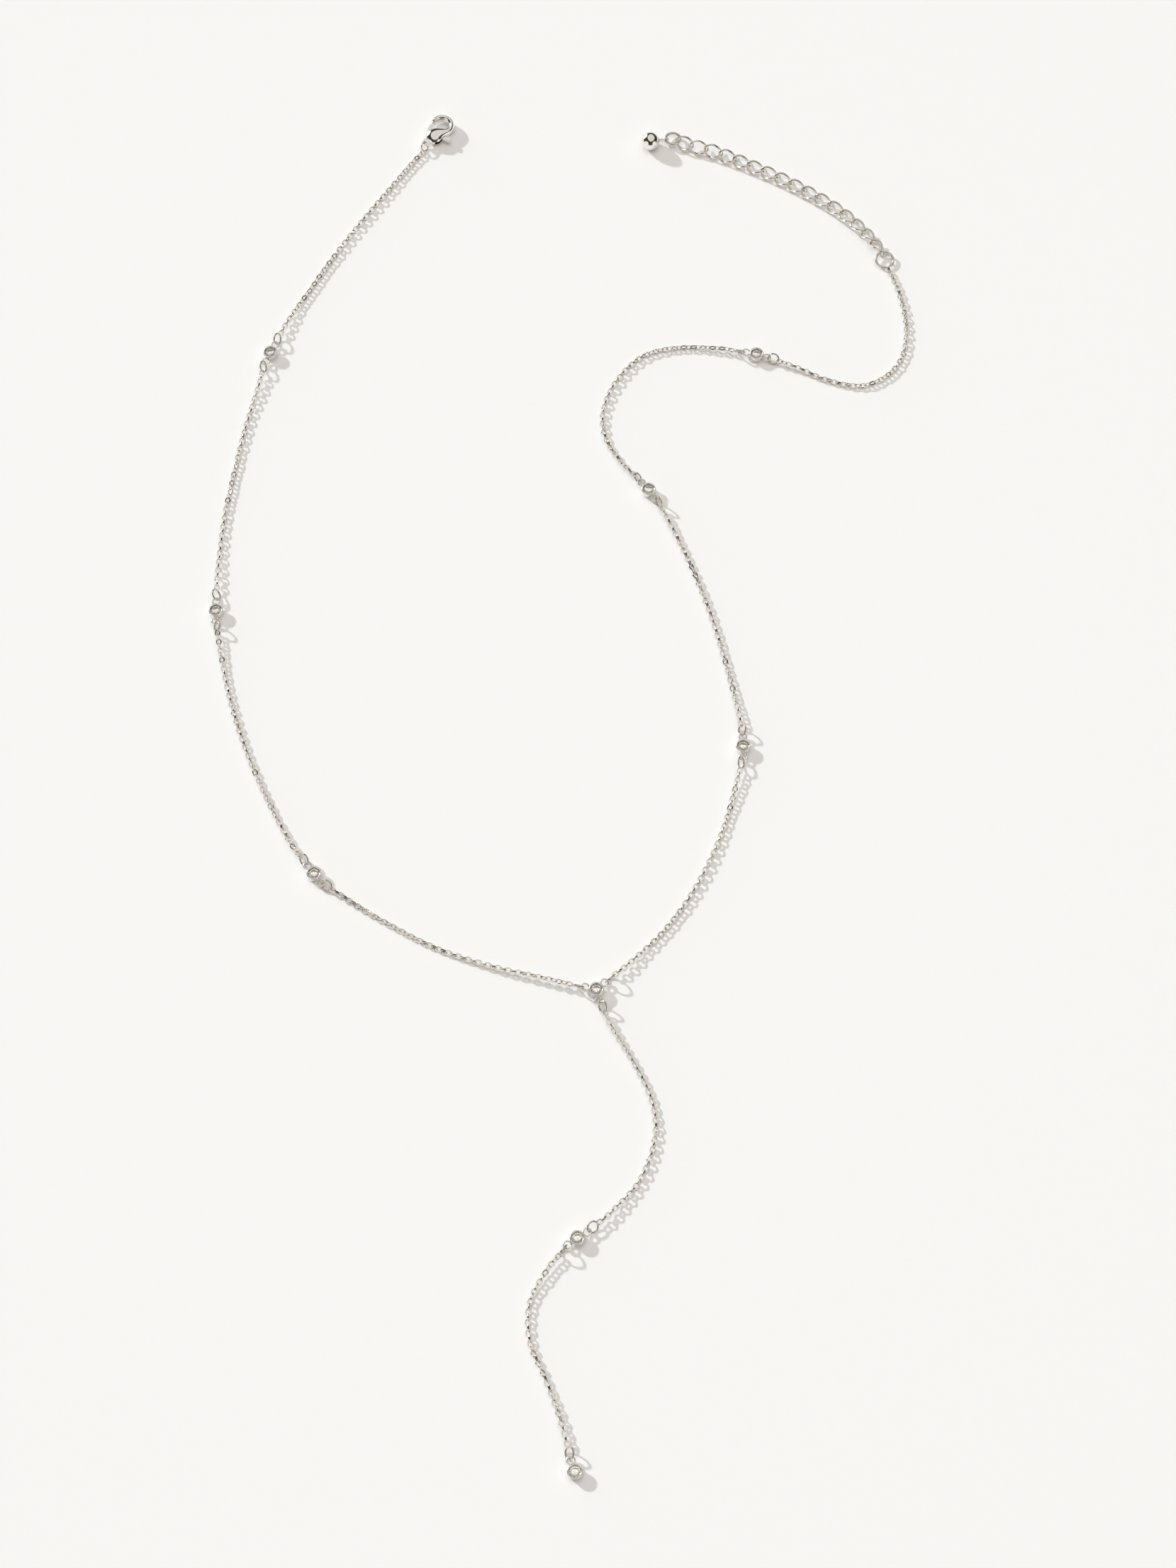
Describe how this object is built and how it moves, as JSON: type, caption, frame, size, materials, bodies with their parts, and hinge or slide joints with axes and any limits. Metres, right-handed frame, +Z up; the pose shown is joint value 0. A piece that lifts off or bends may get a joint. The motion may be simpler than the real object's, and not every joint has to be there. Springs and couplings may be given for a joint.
{
  "type": "y necklace",
  "caption": "Y necklace lying open: round stones in bezel cups along a fine cable chain, a short drop at the front, a lobster clasp and a curb link extender with an end ball.",
  "frame": {"origin": "on the table that the necklace lies on, under the middle of its outline", "axes": "+Z up from the table, +Y from the end of the drop towards the clasp, +X to the right seen from above with the drop at the bottom"},
  "size_m": [0.18, 0.3731, 0.0049],
  "materials": {
    "cups": "bright polish",
    "rings": "bright polish",
    "chain": "bright polish",
    "findings": "bright polish",
    "stone": "cut and polished"
  },
  "bodies": {
    "necklace": {"setting_1": "cups", "setting_2": "cups", "setting_3": "cups", "setting_4": "cups", "setting_5": "cups", "setting_6": "cups", "setting_7": "cups", "setting_8": "cups", "setting_9": "cups", "stone_1": "stone", "stone_2": "stone", "stone_3": "stone", "stone_4": "stone", "stone_5": "stone", "stone_6": "stone", "stone_7": "stone", "stone_8": "stone", "stone_9": "stone", "jump_ring_1": "rings", "jump_ring_2": "rings", "jump_ring_3": "rings", "jump_ring_4": "rings", "jump_ring_5": "rings", "jump_ring_6": "rings", "jump_ring_7": "rings", "jump_ring_8": "rings", "jump_ring_9": "rings", "jump_ring_10": "rings", "jump_ring_11": "rings", "jump_ring_12": "rings", "jump_ring_13": "rings", "jump_ring_14": "rings", "jump_ring_15": "rings", "jump_ring_16": "rings", "jump_ring_17": "rings", "jump_ring_18": "rings", "chain_1": "chain", "chain_2": "chain", "chain_3": "chain", "chain_4": "chain", "chain_5": "chain", "chain_6": "chain", "chain_7": "chain", "chain_8": "chain", "chain_9": "chain", "chain_10": "chain", "clasp_body": "findings", "clasp_ring": "rings", "extender_ring": "rings", "extender_chain": "chain", "ball_ring": "rings", "end_ball": "findings"},
    "lever": {"clasp_lever": "findings"}
  },
  "joints": [
    {"name": "lever_hinge", "type": "hinge", "parent": "necklace", "child": "lever", "pos_m": [-0.03527, 0.18025, 0.00165], "axis": [0, 0, -1], "range_deg": [0, 28], "stiffness_Nm_per_rad": 0.013, "springref_deg": -11.46}
  ]
}
